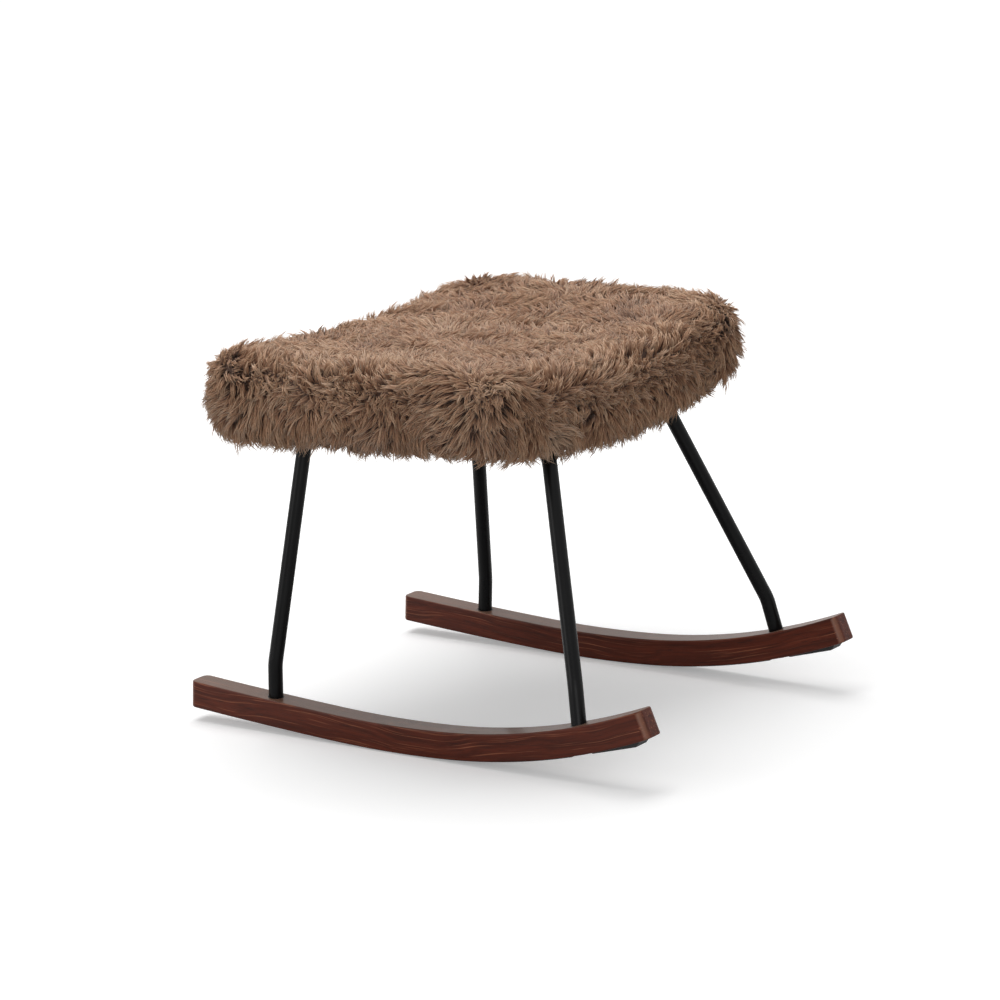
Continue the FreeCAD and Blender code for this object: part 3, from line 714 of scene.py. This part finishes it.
def grow(places, normals, hairs, length_share, rng):
    """Curved hairs in tufts: roots, bends, tips, outward directions and shades."""
    way, stand, tousled = flow(places, normals)
    count = len(places)
    side = np.cross(normals, way)
    flat = smooth_step(normals[:, 2:3], *side_to_top)
    tuft_length = hair_length * (1.0 - flat) + top_hair_length * flat
    tuft_length = tuft_length * (1.0 + tuft_length_spread * rng.normal(size=(count, 1)))
    tuft_length = tuft_length * (1.0 - tousled_shortening * tousled)
    lean = (plain_lean + tousled_lean * tousled) * rng.normal(size=(count, 1))
    tuft_way = unit(way * (1.0 - tousled_loss * tousled) + side * lean)
    tuft_stand = stand + tuft_stand_spread * rng.normal(size=(count, 1))
    tuft_shade = tuft_shade_drift * ripple(places, shade_ripple)
    tuft_shade = tuft_shade + tuft_shade_spread * rng.normal(size=(count, 1))

    def each(values):
        return np.repeat(values, hairs, axis=0)

    total = count * hairs
    reach = tuft_radius * np.sqrt(rng.random((total, 1)))
    turn = 2.0 * math.pi * rng.random((total, 1))
    offset = (each(way) * np.cos(turn) + each(side) * np.sin(turn)) * reach
    normal = each(normals)
    ways = unit(each(tuft_way) + each(side) * hair_way_spread * rng.normal(size=(total, 1)))
    stands = each(tuft_stand) + hair_stand_spread * rng.normal(size=(total, 1))
    stands = np.clip(stands, *stand_range)
    own_share = shortest_share + length_range * rng.random((total, 1))
    length = each(tuft_length) * length_share * own_share
    root = each(places) + offset - normal * root_depth
    run = np.sqrt(np.clip(1.0 - stands ** 2, least_run_square, 1.0))
    bend = root + length * (normal * (bend_lift + bend_lift_gain * stands) + ways * bend_run)
    tip = root + length * (normal * stands * tip_lift + ways * run) - offset * tip_gathering
    droop = tip_droop * length * (1.0 - each(flat))
    tip = tip - np.array([0.0, 0.0, 1.0]) * droop
    shade = each(tuft_shade) + hair_shade_spread * rng.normal(size=(total, 1))
    return root, bend, tip, normal, shade


def clear_of_tubes(root, bend, tip):
    """True for hairs that keep off the legs."""
    keep = np.ones(len(root), bool)
    for name in ("side_tube_left", "side_tube_right"):
        tube = nodes[name].data
        corners = [vertex.co for vertex in tube.vertices]
        tree = BVHTree.FromPolygons(corners, [tuple(face.vertices) for face in tube.polygons])
        low, high = (np.array(corner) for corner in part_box(name))
        for points in (root, bend, tip):
            inside = np.all((points > low - tube_margin) & (points < high + tube_margin), axis=1)
            for index in np.nonzero(inside & keep)[0]:
                if tree.find_nearest(points[index], tube_clearance)[0] is not None:
                    keep[index] = False
    return keep


def hair_points(root, bend, tip, normal, width):
    """Ten points for each hair: three rings of three round its curve, and its tip."""
    points = []
    for t, share in hair_rings:
        centre = (1 - t) ** 2 * root + 2 * t * (1 - t) * bend + t * t * tip
        along = unit(2 * (1 - t) * (bend - root) + 2 * t * (tip - bend))
        aside = unit(np.cross(along, normal))
        above = np.cross(aside, along)
        half = width * share / 2.0
        points.append(centre + above * half * ridge_share)
        points.append(centre - above * half * keel_share + aside * half)
        points.append(centre - above * half * keel_share - aside * half)
    return np.stack([*points, tip], axis=1)


def hair_faces():
    """One hair's triangles: two bands round it, the point at its tip and the cap at its root."""
    faces = []
    for ring in (0, 3):
        for k in range(3):
            m = (k + 1) % 3
            faces += [(ring + k, ring + m, ring + 3 + m), (ring + k, ring + 3 + m, ring + 3 + k)]
    faces += [(6 + k, 6 + (k + 1) % 3, 9) for k in range(3)]
    return np.array(faces + [(0, 2, 1)])


def bake_chart(row_count, around, hair_count, share_along):
    """Each point's place on the chart: the skin in a strip along the bottom, the hairs above it."""
    row, column = np.divmod(np.arange(row_count * around), around)
    skin_u = column / around
    skin_v = bake_skin_share * bake_strip * row / row_count
    hair = np.arange(hair_count)[:, None]
    bake_rows = math.ceil(hair_count / bake_columns)
    across_hair = np.array([*bake_across * 3, bake_across[0]])[None]
    hair_u = (hair % bake_columns + across_hair) / bake_columns
    up_column = hair // bake_columns + bake_gap + bake_reach * share_along[None]
    hair_v = bake_strip + (1.0 - bake_strip) * up_column / bake_rows
    chart_u = np.concatenate([skin_u, hair_u.ravel()])
    chart_v = np.concatenate([skin_v, hair_v.ravel()])
    return np.stack([chart_u, chart_v], axis=1)


def fur_mesh(name, rows, rng):
    """The skin and its hairs as one mesh, with how far along a hair and how light each point is."""
    normals = skin_normals(rows)
    places, directions = sow(rows, normals, tuft_spacing, rng)
    long_hairs = grow(places, directions, hairs_in_tuft, 1.0, rng)
    places, directions = sow(rows, normals, underfur_spacing, rng)
    parted = flow(places, directions)[2][:, 0] > underfur_from
    short_hairs = grow(places[parted], directions[parted], underfur_hairs, underfur_length_share, rng)
    root, bend, tip, normal, shade = (np.concatenate(pair) for pair in zip(long_hairs, short_hairs))
    numbers = [len(long_hairs[0]), len(short_hairs[0])]
    width_share = np.repeat([1.0, underfur_width_share], numbers)[:, None]
    if name == "fur_border":
        keep = clear_of_tubes(root, bend, tip)
        root, bend, tip, normal, shade, width_share = (
            values[keep] for values in (root, bend, tip, normal, shade, width_share))
    count = len(root)
    width = hair_width * width_share * (thinnest_share + width_range * rng.random((count, 1)))

    row_count, around = rows.shape[:2]
    skin_count = row_count * around
    grid = np.arange(skin_count).reshape(row_count, around)
    beside = np.roll(grid, -1, axis=1)
    skin_faces = np.stack([grid[:-1], grid[1:], beside[1:], beside[:-1]], axis=-1).reshape(-1, 4)
    skin_triangles = np.concatenate([skin_faces[:, [0, 1, 2]], skin_faces[:, [0, 2, 3]]])
    hairs = hair_points(root, bend, tip, normal, width)
    points_of_hair = hairs.shape[1]
    first_points = skin_count + points_of_hair * np.arange(count)[:, None, None]
    hair_triangles = (hair_faces()[None] + first_points).reshape(-1, 3)
    points = np.concatenate([rows.reshape(-1, 3), hairs.reshape(-1, 3)]).astype(np.float32)
    triangles = np.concatenate([skin_triangles, hair_triangles]).astype(np.int32)
    mesh = bpy.data.meshes.new(name)
    mesh.vertices.add(len(points))
    mesh.vertices.foreach_set("co", points.ravel())
    mesh.loops.add(triangles.size)
    mesh.loops.foreach_set("vertex_index", triangles.ravel())
    mesh.polygons.add(len(triangles))
    mesh.polygons.foreach_set("loop_start", np.arange(0, triangles.size, 3, dtype=np.int32))
    mesh.polygons.foreach_set("use_smooth", np.ones(len(triangles), bool))

    share_along = np.repeat([*(t for t, share in hair_rings), 1.0], (3, 3, 3, 1))
    along = np.concatenate([np.zeros(skin_count), np.tile(share_along, count)])
    light = np.concatenate([np.zeros(skin_count), np.repeat(shade.ravel(), points_of_hair)])
    for label, values in (("hair_along", along), ("hair_light", light)):
        attribute = mesh.attributes.new(label, "FLOAT", "POINT")
        attribute.data.foreach_set("value", values.astype(np.float32))
    corners = bake_chart(row_count, around, count, share_along)[triangles]
    corner_u = corners[:, :, 0]
    closing = (corner_u.max(axis=1) > bake_closing) & (triangles[:, 0] < skin_count)
    corner_u[closing] = np.where(corner_u[closing] < 0.5, 1.0, corner_u[closing])
    layer = mesh.uv_layers.new(name="OFBake")
    layer.data.foreach_set("uv", corners.reshape(-1).astype(np.float32))
    mesh.update()
    piece = bpy.data.objects.new(name, mesh)
    bpy.context.scene.collection.objects.link(piece)
    return piece


fur_random = np.random.default_rng(fur_seed)
fur_top = fur_mesh("fur_top", top_rows(), fur_random)
fur_border = fur_mesh("fur_border", band_rows(), fur_random)

fur = Finish("brown_fur")
hair_along = Value(fur, fur.node("Attribute", {"attribute_name": "hair_along"}).outputs["Fac"])
hair_light = Value(fur, fur.node("Attribute", {"attribute_name": "hair_light"}).outputs["Fac"])
# Painted shade: the hairs darken towards their roots, and the skin takes the root colour, for the shade
# in the gaps between tufts.
strand_colour_with_painted_root_shade = fur.ramp(hair_along, [(0.0, srgb(74, 49, 34)), (0.18, srgb(100, 68, 48)),
                                      (0.40, srgb(136, 98, 72)), (0.75, srgb(180, 138, 107)),
                                      (1.0, srgb(220, 184, 150))])
light_strands = fur.mix(hair_light.between(0.2, 2.2) * 0.6, strand_colour_with_painted_root_shade, srgb(218, 188, 159))
dark_strands = fur.mix((0.0 - hair_light).between(0.2, 2.4) * 0.6, light_strands, srgb(98, 68, 50))
fur.surface_is(Base_Color=dark_strands, Roughness=0.62, Sheen_Weight=0.15, Sheen_Roughness=0.5,
               Specular_IOR_Level=0.35)
for piece, node in ((fur_top, "fur_top_panel"), (fur_border, "fur_border_band")):
    fur.cover(piece)
    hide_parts(node)
    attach(piece, "root")


# Room: a wide pale floor and an even white surround, a large soft lamp overhead and two lower ones,
# beside the camera and to its left. Camera rays and reflections see the surround as white.
floor_size = 14.0
glow_from = 0.40
glow_to = 1.60

bpy.ops.object.select_all(action="DESELECT")
bpy.ops.mesh.primitive_grid_add(x_subdivisions=4, y_subdivisions=4, size=floor_size)
floor = bpy.context.object
floor.name = "floor"
pale = Finish("pale_floor")
rays = pale.node("LightPath").outputs
far_off = ((pale.x * pale.x + pale.y * pale.y) ** 0.5).between(glow_from, glow_to)
glow = pale.mix(far_off, (0.26, 0.26, 0.26), (0.66, 0.66, 0.66))
seen = Value(pale, rays["Is Camera Ray"]) + Value(pale, rays["Is Glossy Ray"])
seen = (seen + Value(pale, rays["Is Transmission Ray"])).least(1.0)
floor_colour = pale.mix(seen, (0.45, 0.45, 0.45), (0.85, 0.85, 0.85))
seen_glow = pale.mix(rays["Is Camera Ray"], (0.0, 0.0, 0.0), glow)
pale.surface_is(Base_Color=floor_colour, Roughness=0.9, Specular_IOR_Level=0.0,
                Emission_Color=seen_glow, Emission_Strength=1.0)
pale.cover(floor)

world = bpy.data.worlds.new("soft_white")
bpy.context.scene.world = world
world.use_nodes = True
world_nodes = world.node_tree.nodes
world_links = world.node_tree.links
background = world_nodes["Background"]
path = world_nodes.new("ShaderNodeLightPath")
sum_of_rays = world_nodes.new("ShaderNodeMath")
more_rays = world_nodes.new("ShaderNodeMath")
strength = world_nodes.new("ShaderNodeMapRange")
strength.inputs["To Min"].default_value = 0.45
strength.inputs["To Max"].default_value = 1.0
world_links.new(path.outputs["Is Camera Ray"], sum_of_rays.inputs[0])
world_links.new(path.outputs["Is Glossy Ray"], sum_of_rays.inputs[1])
world_links.new(sum_of_rays.outputs["Value"], more_rays.inputs[0])
world_links.new(path.outputs["Is Transmission Ray"], more_rays.inputs[1])
world_links.new(more_rays.outputs["Value"], strength.inputs["Value"])
world_links.new(strength.outputs["Result"], background.inputs["Strength"])
background.inputs["Color"].default_value = (1.0, 1.0, 1.0, 1.0)


def soft_lamp(name, place, aim, width, height, power):
    lamp = bpy.data.lights.new(name, "AREA")
    lamp.shape = "RECTANGLE"
    lamp.size = width
    lamp.size_y = height
    lamp.energy = power
    holder = bpy.data.objects.new(name, lamp)
    bpy.context.scene.collection.objects.link(holder)
    holder.location = place
    holder.rotation_euler = (Vector(aim) - Vector(place)).to_track_quat("-Z", "Y").to_euler()


soft_lamp("overhead", (-0.5, 0.2, 2.4), (0.0, 0.0, 0.2), 2.0, 2.0, 45.0)
soft_lamp("left_side", (-1.3, -2.2, 0.9), (0.0, 0.0, 0.25), 1.0, 1.5, 9.0)
soft_lamp("front_side", (1.7, -2.3, 0.8), (0.0, 0.0, 0.25), 1.5, 1.3, 11.0)

camera_azimuth = 35.109
camera_elevation = 13.343
camera_roll = -2.541
camera_distance = 4.0878
camera_target = Vector((-0.04372, 0.03326, 0.22074))
focal_pixels = 3704.4
picture_pixels = 1000.0

azimuth = math.radians(camera_azimuth)
elevation = math.radians(camera_elevation)
roll = math.radians(camera_roll)
back = Vector((math.sin(azimuth) * math.cos(elevation), -math.cos(azimuth) * math.cos(elevation),
               math.sin(elevation)))
level = Vector((math.cos(azimuth), math.sin(azimuth), 0.0))
rise = back.cross(level)
right = level * math.cos(roll) + rise * math.sin(roll)
up = back.cross(right)
camera_data = bpy.data.cameras.new("camera")
camera_data.sensor_width = 36.0
camera_data.lens = camera_data.sensor_width * focal_pixels / picture_pixels
camera_data.clip_end = 50.0
camera = bpy.data.objects.new("camera", camera_data)
bpy.context.scene.collection.objects.link(camera)
camera.matrix_world = Matrix.Translation(camera_target + back * camera_distance) @ Matrix(
    (right, up, back)).transposed().to_4x4()
bpy.context.scene.camera = camera
bpy.context.scene.view_settings.view_transform = "Standard"
